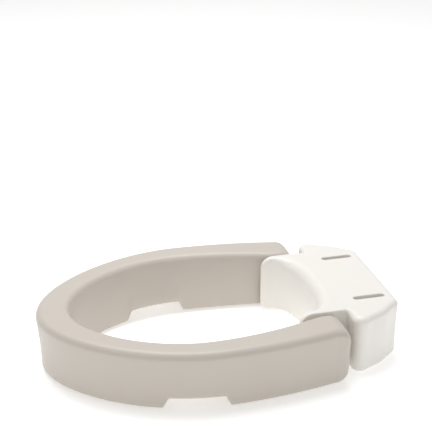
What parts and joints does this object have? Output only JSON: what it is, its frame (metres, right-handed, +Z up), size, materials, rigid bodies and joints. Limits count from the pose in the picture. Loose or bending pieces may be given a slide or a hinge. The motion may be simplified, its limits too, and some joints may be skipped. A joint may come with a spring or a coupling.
{
  "type": "raised toilet seat",
  "caption": "Hinged plastic riser for an elongated toilet: horseshoe ring on bumpers that swings up on stub pins beside a slotted rear hinge block.",
  "frame": {"origin": "on the plane of the bumpers' undersides, below the middle of the overall box", "axes": "+X to the user's side, across the seat; +Y to the rear, towards the hinge block; +Z up"},
  "size_m": [0.3566, 0.5273, 0.093],
  "materials": {
    "ring_plastic": "satin moulded polyethylene, warm off-white",
    "block_plastic": "satin moulded polyethylene, white",
    "pin_nylon": "smooth nylon",
    "bush_acetal": "smooth acetal",
    "bumper_rubber": "soft white rubber",
    "plug_plastic": "satin moulded plastic"
  },
  "bodies": {
    "hinge_block": {"hinge_block": "block_plastic", "hinge_pin_right": "pin_nylon", "hinge_pin_left": "pin_nylon", "thrust_washer_right": "bush_acetal", "thrust_washer_left": "bush_acetal", "block_bumper_right": "bumper_rubber", "block_bumper_left": "bumper_rubber", "block_vent_plug": "plug_plastic"},
    "riser_ring": {"riser_ring": "ring_plastic", "hinge_bush_right": "bush_acetal", "hinge_bush_left": "bush_acetal", "ring_vent_plug": "plug_plastic", "ring_bumper_front_right": "bumper_rubber", "ring_bumper_front_left": "bumper_rubber", "ring_bumper_middle_right": "bumper_rubber", "ring_bumper_middle_left": "bumper_rubber", "ring_bumper_rear_right": "bumper_rubber", "ring_bumper_rear_left": "bumper_rubber"}
  },
  "joints": [
    {"name": "ring_hinge", "type": "hinge", "parent": "hinge_block", "child": "riser_ring", "pos_m": [0, 0.146, 0.063], "axis": [-1, 0, 0], "range_deg": [0, 95]}
  ]
}
